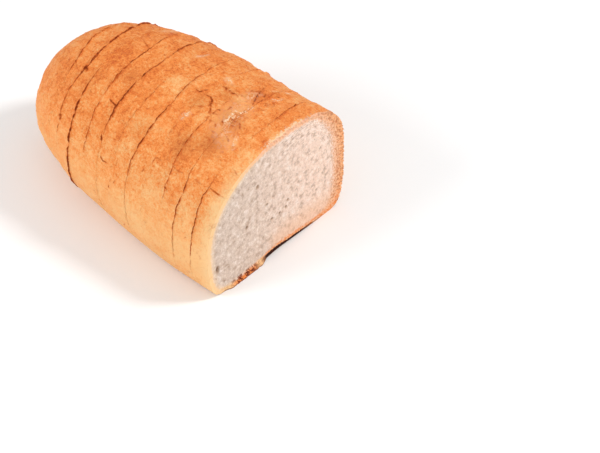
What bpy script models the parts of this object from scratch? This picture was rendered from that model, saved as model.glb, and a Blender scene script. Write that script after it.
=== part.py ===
"""A sliced white loaf: a long domed loaf with one heel still on, cut across into slices that stand together.

Metres, +Z up. The loaf lies along X with its open cut face at +X and its heel at -X, and rests on Z = 0.
"""

import math

import bmesh
import bpy
from mathutils import Vector, noise

# Whole loaf
LOAF_LENGTH = 0.195
HALF_WIDTH = 0.063
CUT_FACE_HEIGHT = 0.0903
CROWN_RISE = 0.021
CROWN_RISE_SQUARED = 0.0068
END_POWER = 4.0

# Section: an elliptic lower corner, a widest level, and a superellipse dome above it
WIDEST_LEVEL = 0.385
DOME_POWER_NEAR = 2.09
DOME_POWER_FAR = 3.21
FOOT_WIDTH_AT_CUT = 0.87
FOOT_WIDTH_AT_HEEL = 0.30
CORNER_GROWS_FROM = 0.10

# Underside: flat as far as this share of the length, then an arc that lifts the tip of the heel
FLAT_FOOT_SHARE = 0.5
TIP_LIFT = 0.0225

# Hollow under the cut face, where the bottom crust has sprung up
ARCH_HEIGHT = 0.0026
ARCH_LEFT = -0.017
ARCH_PEAK = -0.006
ARCH_RIGHT = 0.053
ARCH_DEPTH = 0.034

# Torn lip of bottom crust that stands out of the cut face
LIP_REACH = 0.0026
LIP_LEFT = -0.050
LIP_RIGHT = -0.010
LIP_BAND = 0.004
LIP_SQUARENESS = 3

# Slices: each cut's distance from the open face, and how far each slice's top stands out from its place
CUT_PLACES = (0.0138, 0.0290, 0.0423, 0.0562, 0.0693, 0.0837, 0.0966, 0.1104, 0.1258, 0.1383, 0.1507)
SLICE_SWELLS = (0.0006, -0.0002, -0.0006, -0.0004, -0.0001, 0.0003, -0.0003, -0.0007, 0.0007, -0.0003, -0.0006, 0.0004)
STEP_SHARE = 0.4
CUT_GAP = 0.0003
RIM_RADIUS = 0.0006
RIM_STEPS = (0.0, 0.45, 1.0)

# Crust relief
RELIEF_SIZE = 0.034
RELIEF_HEIGHT = 0.0007
RELIEF_FADE = 0.02
SWELL_FADE = 0.030
SWELL_END = 0.5

# Mesh density
CORNER_POINTS = 7
DOME_POINTS = 37
FOOT_POINTS = 10
OUTLINE_SAMPLES = 240
RING_SPACING = 0.0065
HEEL_RINGS = 13
SHARP_ANGLE = math.radians(40.0)

CRUST_COLOUR = (0.83, 0.42, 0.16, 1.0)
CRUMB_COLOUR = (0.86, 0.77, 0.65, 1.0)
CRUST_ROUGHNESS = 0.62
CRUMB_ROUGHNESS = 0.9


def clear_scene():
    for old in list(bpy.data.objects):
        bpy.data.objects.remove(old, do_unlink=True)


def make_material(name, colour, roughness):
    material = bpy.data.materials.new(name)
    material.use_nodes = True
    shader = material.node_tree.nodes["Principled BSDF"]
    shader.inputs["Base Color"].default_value = colour
    shader.inputs["Roughness"].default_value = roughness
    shader.inputs["Metallic"].default_value = 0.0
    material.diffuse_color = colour
    return material


def smooth_step(value):
    value = min(max(value, 0.0), 1.0)
    return value * value * (3.0 - 2.0 * value)


def end_round(share):
    """How much of the full section is left at a share of the length; it falls to nothing at the tip."""
    return math.sqrt(max(1.0 - share ** END_POWER, 0.0))


def section_size(share):
    """Half width and height of the section, without its lift off the level it stands on."""
    rounding = end_round(share)
    height = CUT_FACE_HEIGHT + CROWN_RISE * share + CROWN_RISE_SQUARED * share * share
    return HALF_WIDTH * rounding, height * rounding


def foot_lift(share):
    beyond = min(max((share - FLAT_FOOT_SHARE) / (1.0 - FLAT_FOOT_SHARE), 0.0), 1.0)
    return TIP_LIFT * (1.0 - math.sqrt(1.0 - beyond * beyond))


def foot_width(share):
    """The flat foot's width as a part of the section's, which shrinks as the lower corners get rounder."""
    grown = smooth_step((share - CORNER_GROWS_FROM) / (1.0 - CORNER_GROWS_FROM))
    return FOOT_WIDTH_AT_CUT + (FOOT_WIDTH_AT_HEEL - FOOT_WIDTH_AT_CUT) * grown


def lower_corner(share, side):
    """One lower corner, from the edge of the flat foot up to just below the widest level."""
    half, height = section_size(share)
    foot = foot_width(share)
    level = WIDEST_LEVEL * height
    points = []
    for i in range(CORNER_POINTS):
        angle = 0.5 * math.pi * i / CORNER_POINTS
        across = half * (foot + (1.0 - foot) * math.sin(angle))
        points.append((side * across, level * (1.0 - math.cos(angle))))
    return points


def half_dome(share, side):
    """One side of the dome from the widest level up to the crown, as closely spaced points."""
    half, height = section_size(share)
    power = DOME_POWER_NEAR
    if side > 0:
        power = DOME_POWER_FAR + (DOME_POWER_NEAR - DOME_POWER_FAR) * share
    level = WIDEST_LEVEL * height
    points = []
    for i in range(OUTLINE_SAMPLES):
        angle = 0.5 * math.pi * i / OUTLINE_SAMPLES
        across = half * math.cos(angle) ** (2.0 / power)
        points.append((side * across, level + (height - level) * math.sin(angle) ** (2.0 / power)))
    return points + [(0.0, height)]


def spaced_evenly(points, count):
    """The same line with count points at equal distances along it."""
    lengths = [0.0]
    for a, b in zip(points, points[1:]):
        lengths.append(lengths[-1] + math.dist(a, b))
    even = []
    i = 0
    for k in range(count):
        wanted = lengths[-1] * k / (count - 1)
        while i < len(points) - 2 and lengths[i + 1] < wanted:
            i += 1
        t = (wanted - lengths[i]) / (lengths[i + 1] - lengths[i])
        a, b = points[i], points[i + 1]
        even.append((a[0] + (b[0] - a[0]) * t, a[1] + (b[1] - a[1]) * t))
    return even


def arch_under(back, across):
    """Height of the hollow below the cut end: steep on its left, long and low on its right."""
    if across <= ARCH_LEFT or across >= ARCH_RIGHT:
        return 0.0
    if across < ARCH_PEAK:
        shape = smooth_step((across - ARCH_LEFT) / (ARCH_PEAK - ARCH_LEFT))
    else:
        shape = (ARCH_RIGHT - across) / (ARCH_RIGHT - ARCH_PEAK)
    return ARCH_HEIGHT * shape * (1.0 - smooth_step(back / ARCH_DEPTH))


def swell_at(back, number):
    """How far a slice stands out: a smooth wave through the slices' own swells, and a step at each cut."""
    middles = [0.5 * (a + b) for a, b in zip((0.0,) + CUT_PLACES, CUT_PLACES + (LOAF_LENGTH,))]
    wave = SLICE_SWELLS[0] if back < middles[0] else SLICE_SWELLS[-1]
    for i, (a, b) in enumerate(zip(middles, middles[1:])):
        if a <= back < b:
            blend = smooth_step((back - a) / (b - a))
            wave = SLICE_SWELLS[i] + (SLICE_SWELLS[i + 1] - SLICE_SWELLS[i]) * blend
    return wave + (SLICE_SWELLS[number] - wave) * STEP_SHARE


def section_ring(back, inset, number):
    """Closed ring of points at a distance back from the open face, drawn in by inset for a rounded rim."""
    share = back / LOAF_LENGTH
    swell = swell_at(back, number) * smooth_step(end_round(share) / SWELL_END)
    dome = spaced_evenly(half_dome(share, 1) + half_dome(share, -1)[-2::-1], DOME_POINTS)
    crust = lower_corner(share, 1) + dome + lower_corner(share, -1)[::-1]
    foot_left = crust[-1][0]
    foot_right = crust[0][0]
    lift = foot_lift(share)
    ring = []
    for i, (y, z) in enumerate(crust):
        before = crust[max(i - 1, 0)]
        after = crust[min(i + 1, len(crust) - 1)]
        outward = Vector((0.0, after[1] - before[1], before[0] - after[0])).normalized()
        spot = Vector((back, y, z)) / RELIEF_SIZE
        raised = RELIEF_HEIGHT * noise.noise(spot) * smooth_step(z / RELIEF_FADE)
        raised += swell * smooth_step(z / SWELL_FADE)
        moved = Vector((0.0, y, z)) + outward * (raised - inset)
        ring.append((moved.y, max(moved.z, inset) + lift))
    for i in range(1, FOOT_POINTS):
        y = foot_left + (foot_right - foot_left) * i / FOOT_POINTS
        ring.append((y, inset + lift + arch_under(back, y)))
    return [Vector((LOAF_LENGTH / 2.0 - back, y, z)) for y, z in ring]


def rim_inset(distance):
    """How far a rim's rounding draws the section in, at a distance from the cut."""
    if distance >= RIM_RADIUS:
        return 0.0
    return RIM_RADIUS - math.sqrt(RIM_RADIUS ** 2 - (RIM_RADIUS - distance) ** 2)


def slice_stations(start, end):
    """Distances back of a slice's rings: close together at both rims, evenly spread between them."""
    near = [start + RIM_RADIUS * step for step in RIM_STEPS]
    far = [end - RIM_RADIUS * step for step in reversed(RIM_STEPS)]
    inner = max(round((far[0] - near[-1]) / RING_SPACING), 1)
    middle = [near[-1] + (far[0] - near[-1]) * i / inner for i in range(1, inner)]
    return near + middle + far


def heel_stations(start):
    """Distances back of the heel's rings, closer together as its end curves in."""
    near = [start + RIM_RADIUS * step for step in RIM_STEPS]
    first = math.acos(near[-1] / LOAF_LENGTH)
    rest = [LOAF_LENGTH * math.cos(first * (1.0 - i / HEEL_RINGS)) for i in range(1, HEEL_RINGS)]
    return near + rest


def loft(name, rings, tip, materials):
    """Skins the rings, closes the cut sides with crumb, and brings the last ring to a point at a tip."""
    mesh_build = bmesh.new()
    loops = []
    for ring in rings:
        verts = [mesh_build.verts.new(point) for point in ring]
        loops.append(verts)
    edges = []
    for verts in loops:
        edges.append([mesh_build.edges.new((a, b)) for a, b in zip(verts, verts[1:] + verts[:1])])
    for near, far in zip(loops, loops[1:]):
        for i, corner in enumerate(near):
            j = (i + 1) % len(near)
            mesh_build.faces.new((corner, near[j], far[j], far[i]))
    open_ends = [edges[0]] if tip else [edges[0], edges[-1]]
    for end in open_ends:
        cap = bmesh.ops.contextual_create(mesh_build, geom=end)["faces"]
        for face in cap:
            face.material_index = 1
    if tip:
        bmesh.ops.contextual_create(mesh_build, geom=edges[-1])
        bmesh.ops.pointmerge(mesh_build, verts=loops[-1], merge_co=tip)
    bmesh.ops.recalc_face_normals(mesh_build, faces=mesh_build.faces)
    mesh = bpy.data.meshes.new(name)
    mesh_build.to_mesh(mesh)
    mesh_build.free()
    for material in materials:
        mesh.materials.append(material)
    mesh.shade_smooth()
    mesh.set_sharp_from_angle(angle=SHARP_ANGLE)
    return bpy.data.objects.new(name, mesh)


def make_slice(number, start, end, materials):
    rings = []
    for back in slice_stations(start, end):
        inset = rim_inset(min(back - start, end - back))
        rings.append(section_ring(back, inset, number))
    return loft(f"slice_{number + 1:02d}", rings, None, materials)


def make_heel(start, materials):
    rings = []
    for back in heel_stations(start):
        rings.append(section_ring(back, rim_inset(back - start), len(CUT_PLACES)))
    tip = Vector((-LOAF_LENGTH / 2.0, 0.0, foot_lift(1.0)))
    return loft("heel", rings, tip, materials)


def pull_out_lip(piece):
    """Draws the lower edge of the open face forward, where a strip of bottom crust has torn."""
    mesh_build = bmesh.new()
    mesh_build.from_mesh(piece.data)
    face = max(mesh_build.faces, key=lambda item: item.calc_center_median().x)
    bmesh.ops.inset_region(mesh_build, faces=[face], thickness=LIP_BAND, use_even_offset=True)
    for vertex in mesh_build.verts:
        at_face = vertex.co.x > LOAF_LENGTH / 2.0 - RIM_RADIUS
        low = vertex.co.z < LIP_BAND
        along = (vertex.co.y - LIP_LEFT) / (LIP_RIGHT - LIP_LEFT)
        if at_face and low and 0.0 < along < 1.0:
            vertex.co.x += LIP_REACH * smooth_step(1.0 - abs(2.0 * along - 1.0) ** LIP_SQUARENESS)
    mesh_build.to_mesh(piece.data)
    mesh_build.free()


def centre_on_origin(objects):
    """Puts the middle of the loaf's box over the origin, with the foot left at Z = 0."""
    points = [vertex.co for item in objects for vertex in item.data.vertices]
    middle_x = (min(p.x for p in points) + max(p.x for p in points)) / 2.0
    middle_y = (min(p.y for p in points) + max(p.y for p in points)) / 2.0
    for item in objects:
        for vertex in item.data.vertices:
            vertex.co.x -= middle_x
            vertex.co.y -= middle_y


def main():
    clear_scene()
    collection = bpy.data.collections.new("sliced_loaf")
    bpy.context.scene.collection.children.link(collection)
    crust = make_material("crust", CRUST_COLOUR, CRUST_ROUGHNESS)
    crumb = make_material("crumb", CRUMB_COLOUR, CRUMB_ROUGHNESS)
    materials = (crust, crumb)
    starts = [0.0] + [place + CUT_GAP / 2.0 for place in CUT_PLACES]
    ends = [place - CUT_GAP / 2.0 for place in CUT_PLACES]
    pieces = []
    for number, (start, end) in enumerate(zip(starts, ends)):
        pieces.append(make_slice(number, start, end, materials))
    pieces.append(make_heel(starts[-1], materials))
    pull_out_lip(pieces[0])
    centre_on_origin(pieces)
    for piece in pieces:
        collection.objects.link(piece)


main()
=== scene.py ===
import math
from functools import partial

import bmesh
import bpy
import numpy as np
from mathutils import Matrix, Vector, noise
from mathutils.bvhtree import BVHTree


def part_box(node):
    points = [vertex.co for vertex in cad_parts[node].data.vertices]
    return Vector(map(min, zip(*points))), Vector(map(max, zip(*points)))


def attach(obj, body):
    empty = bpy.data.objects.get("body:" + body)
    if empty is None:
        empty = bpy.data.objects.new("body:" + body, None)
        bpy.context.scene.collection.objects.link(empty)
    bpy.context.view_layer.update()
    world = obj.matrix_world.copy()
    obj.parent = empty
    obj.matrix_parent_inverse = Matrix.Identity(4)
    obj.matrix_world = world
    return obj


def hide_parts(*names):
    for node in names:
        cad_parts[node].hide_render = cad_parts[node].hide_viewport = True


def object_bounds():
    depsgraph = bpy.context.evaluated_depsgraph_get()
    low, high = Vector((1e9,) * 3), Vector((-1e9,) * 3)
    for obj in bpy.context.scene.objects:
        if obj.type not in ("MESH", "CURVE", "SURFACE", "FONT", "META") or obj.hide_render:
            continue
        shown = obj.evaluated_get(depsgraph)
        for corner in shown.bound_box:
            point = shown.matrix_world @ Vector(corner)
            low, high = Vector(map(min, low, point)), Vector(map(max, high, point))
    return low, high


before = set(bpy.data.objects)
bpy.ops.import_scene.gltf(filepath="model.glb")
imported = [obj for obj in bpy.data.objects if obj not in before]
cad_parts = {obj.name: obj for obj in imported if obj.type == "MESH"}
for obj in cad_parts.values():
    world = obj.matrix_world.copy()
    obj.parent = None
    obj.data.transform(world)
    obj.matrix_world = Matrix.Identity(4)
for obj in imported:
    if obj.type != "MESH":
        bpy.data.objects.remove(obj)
cadLow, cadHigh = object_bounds()
mm = 0.001
sliceNames = sorted(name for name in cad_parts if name.startswith("slice")) + ["heel"]
print("frame loaded:", len(sliceNames), "pieces")

loaf = {
    "lipReach": 2.6 * mm,  # torn bottom crust, out of the open face
    "axisAtFace": 40 * mm,  # height of the line inside the loaf that the crust is measured from
    "axisAtTip": 22.5 * mm,
    "axisPower": 4,
    "tableAngles": 480,
    "tableStations": 240,
    "rimClear": 0.9 * mm,  # the solids' rounded rims are left out of the measuring
    "blurAround": 5.0,  # in steps of the table
    "blurAlong": 3.0,
}
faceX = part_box("slice_01")[1].x - loaf["lipReach"]
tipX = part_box("heel")[0].x
cutPlaces = [(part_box(near)[0].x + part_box(far)[1].x) / 2 for near, far in zip(sliceNames, sliceNames[1:])]


def smoothStep(value):
    value = np.clip(value, 0.0, 1.0)
    return value * value * (3.0 - 2.0 * value)


def within(value, low, high):
    # 0 up to the first value, 1 from the second one on
    return smoothStep((value - low) / (high - low))


def noiseAt(points, size, seed=0.0):
    # soft noise from -1 to 1 at each point, size being the width of its lumps
    scaled = points / size + seed
    return np.array([noise.noise(p) for p in scaled.tolist()])


def cellsAt(points, size, seed=0.0):
    # distance to the nearest of the scattered spots, and a fixed random number for that spot
    nearest, chance = [], []
    for p in (points / size + seed).tolist():
        distances, spots = noise.voronoi(p)
        nearest.append(distances[0])
        chance.append(noise.cell(spots[0] * 37.0))
    return np.array(nearest) * size, np.array(chance)


def addObject(name, data):
    made = bpy.data.objects.new(name, data)
    bpy.context.scene.collection.objects.link(made)
    return made


def meshObject(name, shape, *materials):
    mesh = bpy.data.meshes.new(name)
    shape.to_mesh(mesh)
    shape.free()
    for material in materials:
        mesh.materials.append(material)
    return addObject(name, mesh)


# The crust's shape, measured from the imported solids
def solidTree():
    joined = bmesh.new()
    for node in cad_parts.values():
        joined.from_mesh(node.data)
    bmesh.ops.remove_doubles(joined, verts=joined.verts, dist=0.01 * mm)
    tree = BVHTree.FromBMesh(joined)
    joined.free()
    return tree


def shareToTip(x):
    return np.clip((faceX - x) / (faceX - tipX), 0.0, 1.0)


def axisHeight(x):
    return loaf["axisAtFace"] + (loaf["axisAtTip"] - loaf["axisAtFace"]) * shareToTip(x) ** loaf["axisPower"]


def blurred(table, sigma, axis, mode, **extra):
    reach = int(3 * sigma) + 1
    weights = np.exp(-0.5 * (np.arange(-reach, reach + 1) / sigma) ** 2)
    weights /= weights.sum()
    room = [(0, 0), (0, 0)]
    room[axis] = (reach, reach)
    padded = np.pad(table, room, mode=mode, **extra)
    return np.apply_along_axis(lambda row: np.convolve(row, weights, mode="valid"), axis, padded)


def measureCrust():
    # distance of the crust from the inner line, by angle and by station; stations crowd towards the tip
    tree = solidTree()
    angles = np.linspace(-0.5 * math.pi, 1.5 * math.pi, loaf["tableAngles"], endpoint=False)
    turns = np.linspace(0.0, 0.5 * math.pi, loaf["tableStations"])
    edges = np.array([faceX] + cutPlaces)
    table = np.zeros((len(angles), len(turns)))
    safe = []
    for j, turn in enumerate(turns[:-1]):
        x = faceX - (faceX - tipX) * math.sin(turn)
        if np.abs(edges - x).min() < loaf["rimClear"]:
            continue
        start = Vector((x, 0.0, float(axisHeight(x))))
        hits = [tree.ray_cast(start, Vector((0.0, math.cos(a), math.sin(a))))[3] for a in angles]
        if None in hits:
            continue
        safe.append(j)
        table[:, j] = hits
    safe.append(len(turns) - 1)
    for i in range(len(angles)):
        table[i] = np.interp(turns, turns[safe], table[i, safe])
    table = blurred(table, loaf["blurAround"], 0, "wrap")
    return angles, turns, blurred(table, loaf["blurAlong"], 1, "reflect", reflect_type="odd")


crustAngles, crustTurns, crustTable = measureCrust()
print("crust measured")


def crustDistance(angle, x):
    along = np.arcsin(shareToTip(x)) / crustTurns[1]
    around = ((angle - crustAngles[0]) / (crustAngles[1] - crustAngles[0])) % len(crustAngles)
    i0 = np.floor(around).astype(int) % len(crustAngles)
    i1 = (i0 + 1) % len(crustAngles)
    j0 = np.clip(np.floor(along).astype(int), 0, len(crustTurns) - 2)
    s = around - np.floor(around)
    t = along - j0
    near = crustTable[i0, j0] * (1 - s) + crustTable[i1, j0] * s
    far = crustTable[i0, j0 + 1] * (1 - s) + crustTable[i1, j0 + 1] * s
    return near * (1 - t) + far * t


def aroundOf(y, z, x):
    # angle round the inner line, from under the foot by the far side, and distance from that line
    height = z - axisHeight(x)
    angle = np.arctan2(height, y)
    return np.where(angle < -0.5 * math.pi, angle + 2 * math.pi, angle), np.hypot(y, height)


# Knife cuts: how far each wanders off its plane on the way over the loaf, in mm, and how plainly it shows
knife = {
    "angles": (  # far side 0, crown 90, near side 180, foot 270
        20, 46, 62, 90, 115, 135, 150, 170, 200, 245,
    ),
    "wander": (
        (0, 0.5, 0.9, 2.2, 1.7, 0.9, -0.2, 0.8, -2.2, 0),
        (0, -0.6, -0.9, -0.7, -0.9, -1.3, 0.8, -0.7, -1.2, 0),
        (0, 0, 0, -0.5, -0.8, -0.5, 1.2, 1, 0.5, 0),
        (0, 0.8, 0.3, -1, 0.4, -0.2, -0.5, -0.6, 0, 0),
        (0, -0.7, -1.1, -0.6, 1.7, -0.1, -1, -1.6, -1, 0),
        (0, 0.1, 0.2, 0.8, 0.6, -0.9, -0.5, 0.3, 0.5, 0),
        (0, -0.6, -0.9, 0, -0.6, -2.1, -1.2, -0.6, 0.4, 0),
        (0, -1.3, -2, -1, -0.3, -0.6, 0.4, -0.2, 0, 0),
        (0, 0, 0, -0.2, -1, -0.4, 0.4, 2, 2.6, 0),
        (0, -1, -1.5, 1, 2.2, -1.4, -0.8, -0.4, 0, 0),
        (0, -2, -3, -4.2, 2.5, 3, 2, 1, 0, 0),
    ),
    "shows": (  # 0 where the crust has closed over the cut, 1 where it gapes
        (0.3, 0.15, 0.95, 0.5, 0.05, 0.3, 0.95, 0.8, 0.38, 0.1),
        (0.3, 0.3, 0.4, 0.2, 0.05, 0.25, 0.8, 0.52, 0.1, 0),
        (0.3, 0.3, 0.3, 0.1, 0.9, 0.95, 0.85, 0.1, 0, 0),
        (0.3, 0.7, 0.3, 0.1, 0.3, 0.25, 0.1, 0, 0, 0),
        (0.2, 0.2, 0.35, 0.5, 0.95, 1, 0.65, 0.05, 0, 0),
        (0.2, 0.15, 0.15, 0.25, 0.5, 0.3, 0.15, 0, 0, 0),
        (0.6, 0.8, 0.75, 0.95, 1, 0.75, 0.1, 0, 0, 0),
        (0.3, 0.2, 0.5, 0.95, 1, 0.75, 0.85, 0.05, 0, 0),
        (0.3, 0.1, 0.05, 0.05, 0.45, 0.95, 1, 1, 0.9, 0.1),
        (0.8, 0.85, 0.9, 0.95, 1, 0.55, 0.65, 0.05, 0, 0),
        (0.1, 0.1, 0.25, 0.75, 0.65, 0.05, 0, 0, 0, 0),
    ),
    "shiver": 0.45 * mm,
    "shiverSize": 7 * mm,
    "jag": 0.55 * mm,
    "jagSize": 2.6 * mm,
    "gap": 0.02 * mm,
    "gape": 0.34 * mm,  # how much wider a cut is where it shows
    "grooveDepth": 1.4 * mm,
    "grooveWidth": 0.50 * mm,
    "edgeRise": 0.22 * mm,  # the crust bulges a little beside a cut
    "valley": 0.55 * mm,  # and sinks more broadly towards it
    "valleyWidth": 3.6 * mm,
    "besideCut": (1.6 * mm, 0.9 * mm),  # where the bulge is, and its width
    "darkWidth": 0.6 * mm,
    "fadeBehind": 30 * mm,
    "fadeAtFoot": (8 * mm, 28 * mm),
    "uneven": (11, 3.1, 4.0),  # places in the noise that breaks a cut up along its length
    "closedBelow": 0.45,
    "gapeFrom": 0.88,  # of the way out to the crust
    "girth": 60 * mm,
}
standsProud = (0, 0.35, -0.1, 0.1, 0.3, -0.05, 0.25, -0.1, 0.35, 0, 0.45, 0.35)  # of each slice, in mm


def wanderOf(number, angle):
    row = np.array(knife["wander"][number]) * mm
    shift = np.interp(np.degrees(angle), knife["angles"], row)
    for name in ("shiver", "jag"):
        steps = (np.ravel(angle) * knife["girth"] / knife[name + "Size"]).tolist()
        waves = [noise.noise((t, number * 5.7, 0.3)) for t in steps]
        shift = shift + np.reshape(waves, np.shape(angle)) * knife[name]
    return shift


def showsAt(number, angle):
    # how plainly a cut shows at each angle, broken up along its length
    stretch, apart, seed = knife["uneven"]
    wave = [noise.noise((t, k * apart, seed)) for t, k in zip((angle * stretch).tolist(), number.tolist())]
    rows = np.array([np.interp(np.degrees(angle), knife["angles"], row) for row in knife["shows"]])
    picked = rows[number, np.arange(len(angle))]
    plain = picked * np.clip(0.95 + 1.3 * np.array(wave), 0.2, 1.0)
    return plain * smoothStep(plain / knife["closedBelow"])


def wanderTable(angles):
    # one row for each angle: how far a plane at the open face, at each cut and behind the last cut has moved
    still = np.zeros_like(angles)
    return np.array([still, *(wanderOf(k, angles) for k in range(len(cutPlaces))), still]).T


def wanderKnots():
    return np.array([faceX] + cutPlaces + [cutPlaces[-1] - knife["fadeBehind"]])


tableWander = wanderTable(crustAngles)


def straightened(points):
    # each point's x with the cuts' wandering taken out again
    x, y, z = points.T
    angle = aroundOf(y, z, x)[0]
    knots = wanderKnots()
    step = crustAngles[1] - crustAngles[0]
    row = np.round((angle - crustAngles[0]) / step).astype(int) % len(crustAngles)
    shift = np.zeros_like(x)
    for k in range(len(knots) - 1):
        share = np.clip((knots[k] - x) / (knots[k] - knots[k + 1]), 0.0, 1.0)
        inside = (x <= knots[k]) & (x > knots[k + 1])
        moved = tableWander[row, k] * (1 - share) + tableWander[row, k + 1] * share
        shift = np.where(inside, moved, shift)
    return x - shift


# Creases and cracks that show on the crust: width and depth in mm, darkness of the painted shade in them, and
# the line's places in mm
marks = (
    (0.5, 0.6, 0.9, (-51.9, -23.6, 86.8), (-49.3, -26, 86.8), (-47.3, -27, 86.6)),
    (1.2, 1, 1, (-39.8, -26, 89.5), (-38.7, -26.8, 89.4)),
    (0.5, 0.3, 0.5, (-43.2, -29, 86.7), (-39.1, -27, 89.2), (-32.7, -26.2, 91.2)),
    (1.1, 0.9, 1, (-42.5, -48.2, 64.5), (-41.6, -49.5, 62.8)),
    (0.5, 0.3, 0.5, (-26.3, -37, 86.4), (-24.5, -37.7, 86.2)),
    (1.1, 0.9, 1, (-14.7, -23.6, 95.1), (-14.4, -24.2, 94.3)),
    (0.7, 0.8, 1, (-9.8, -36.1, 87.4), (-2.6, -37.7, 86.5), (-1.2, -42.9, 82.1)),
    (0.5, 0.4, 0.6, (-14.4, -50.4, 70.3), (-14.4, -52.1, 68.3), (-14.5, -53.6, 65.8)),
    (0.6, 0.7, 1, (-3.5, -50.1, 73), (-1.7, -52.4, 69.6)),
    (0.5, 0.5, 0.8, (11.3, -44.7, 81.1), (12.2, -47.3, 78)),
    (0.6, 0.5, 0.7, (-25, 9.3, 98.8), (-19.1, 6.9, 99.4), (-14.6, 5.5, 99.2)),
    (1.1, 0.3, 0.35, (-31, -12.2, 96.4), (-28.7, -8.4, 98), (-27.9, -3.4, 98.6)),
    (0.6, 0.5, 0.8, (11.8, -35.5, 88.7), (12.2, -35.5, 88.3)),
    (0.6, 0.5, 0.6, (12.3, -31.7, 90.4), (13.4, -32.3, 91)),
    (0.6, 0.3, 0.4, (4.9, -41.5, 84), (10.8, -42.9, 82.9)),
    (0.6, 0.6, 0.85, (0.8, -56.8, 61.1), (3.4, -57.8, 59.3), (8.1, -58.3, 59.4)),
    (0.5, 0.4, 0.6, (25.4, -56.4, 66), (26.7, -53.2, 69.8), (27.6, -50.1, 75.1)),
    (0.5, 0.4, 0.6, (39.6, -50.9, 72.8), (40.5, -47.4, 76.7), (45.1, -47.5, 76.3)),
    (0.5, 0.5, 0.9, (10.8, -61.4, 46.3), (11.2, -61.6, 44.4)),
    (0.5, 0.3, 0.4, (38.2, -58.3, 60.4), (38.7, -58.6, 59.5)),
    (0.5, 0.3, 0.4, (26.5, -59.9, 57.3), (26.7, -60.1, 55.1)),
    (0.8, 0.5, 0.5, (53.5, -46.2, 76.7), (59, -47.1, 75.4), (61.6, -46.8, 75.6)),
    (0.5, 0.6, 1, (53.4, -53.9, 67), (56.4, -55.4, 64.1)),
    (0.9, 0.5, 0.55, (72, -46.1, 75.6), (76.5, -46, 75.4)),
    (1.4, 0.9, 0.85, (42.3, 11, 96), (49.3, 10.4, 95.1), (53.8, 10.7, 93.9)),
    (0.7, 0.6, 1, (37.9, -3, 96.6), (42.5, -1.6, 96), (45.5, -2.9, 95.6), (49.6, -8.7, 94.7),
        (54.3, -13.2, 93.3)),
    (0.5, 0.4, 0.6, (53, -2.1, 94.7), (52.5, 1.8, 94.8), (53.6, 5.6, 94.2)),
    (0.9, 0.8, 0.9, (58, 31.6, 91.2), (61.1, 20.9, 92.8), (65.5, 11.5, 93.1)),
    (0.5, 0.4, 0.5, (52.7, 18.5, 94.2), (53.7, 25.2, 92.8)),
    (0.6, 0.5, 0.8, (62.4, 37.9, 88.6), (61.1, 36.7, 89.1)),
    (0.6, 0.5, 0.8, (68.7, 28.3, 91.1), (70.1, 31.9, 90.1)),
    (0.8, 0.5, 0.8, (69.6, -4.7, 93), (73.8, -8.7, 92.3)),
    (0.7, 0.4, 0.7, (71.3, -17.6, 90.9), (74.5, -19.7, 90.1)),
    (0.6, 0.5, 0.4, (67, 3.4, 92.7), (68.1, -4.3, 93.2), (73.4, -13.4, 91.7),
        (79.7, -21.6, 89.1), (84, -23.8, 88.5)),
    (0.7, 0.4, 0.45, (88.8, -31.6, 85), (93.4, -32.9, 84), (96.2, -32.9, 82.2)),
    (0.8, 0.6, 0.75, (84.1, -45.8, 75.6), (90.3, -46.2, 75), (96.2, -45.2, 74.3)),
    (0.7, 0.8, 1, (32.6, -3.2, 97.2), (35.5, -3, 96.9), (36.2, -1.2, 96.9), (37.5, 1.9, 96.8)),
    (0.5, 0.4, 0.5, (31.9, -3, 97.3), (33.9, 2.6, 97.2), (37.5, 6.5, 96.8)),
    (0.5, 0.4, 0.5, (39.4, -11.8, 95.5), (40.5, -16.2, 94.4)),
    (0.9, 0.5, 0.5, (40.4, -29, 89.9), (39.5, -35, 86.9)),
    (0.6, 0.4, 0.6, (2.2, -8.7, 98.4), (3.5, -9.5, 98.3)),
    (0.6, 0.4, 0.6, (-4.7, 7.5, 98.5), (-3.7, 7.1, 98.6)),
)
ticks = {
    "count": 120, "length": (2, 5.5), "width": (0.35, 0.55), "depth": (0.2, 0.5), "dark": (0.2, 0.65),
    "clearOfTip": 12 * mm, "clearOfFace": 4 * mm, "angles": (-20, 215), "lean": 0.9, "seed": 7,
}
flourLines = {  # reach and places, in mm
    "white": (
        (2.2, (67, 9.8, 92.5), (66.6, 8.6, 92.7)),
        (1.6, (66.8, 4.5, 93.1), (65.6, 3, 93.3), (65.6, -1.5, 93.3)),
        (1.6, (63.7, 32.5, 90.3), (65.6, 34.3, 89.6), (69.4, 42, 86.4)),
        (3, (41, -19.2, 93.7), (39.8, -23.2, 91.6)),
        (1.7, (69.7, 25.9, 91.5), (72.3, 28.2, 90.9), (71.7, 31.5, 90.2)),
        (3.5, (39.3, 18.2, 96.2), (42.5, 16.6, 95.7)),
        (4, (-25, 30, 94), (-23, 36, 91)),
        (3, (12, 20, 97.5), (14, 26, 95.5)),
        (1.8, (62, 0, 93.4), (63.5, -10, 92.8)),
        (1.6, (76, -14, 91.3), (80, -22, 89)),
    ),
    "dusty": (
        (12, (62.2, 4.1, 93.6), (63.5, -4.5, 93.4), (64.2, -14.4, 92.1)),
        (10, (64.2, -14.4, 92.1), (73.1, -20.5, 90)),
        (7, (58, 10, 94), (60, 20, 93)),
    ),
}
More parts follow.
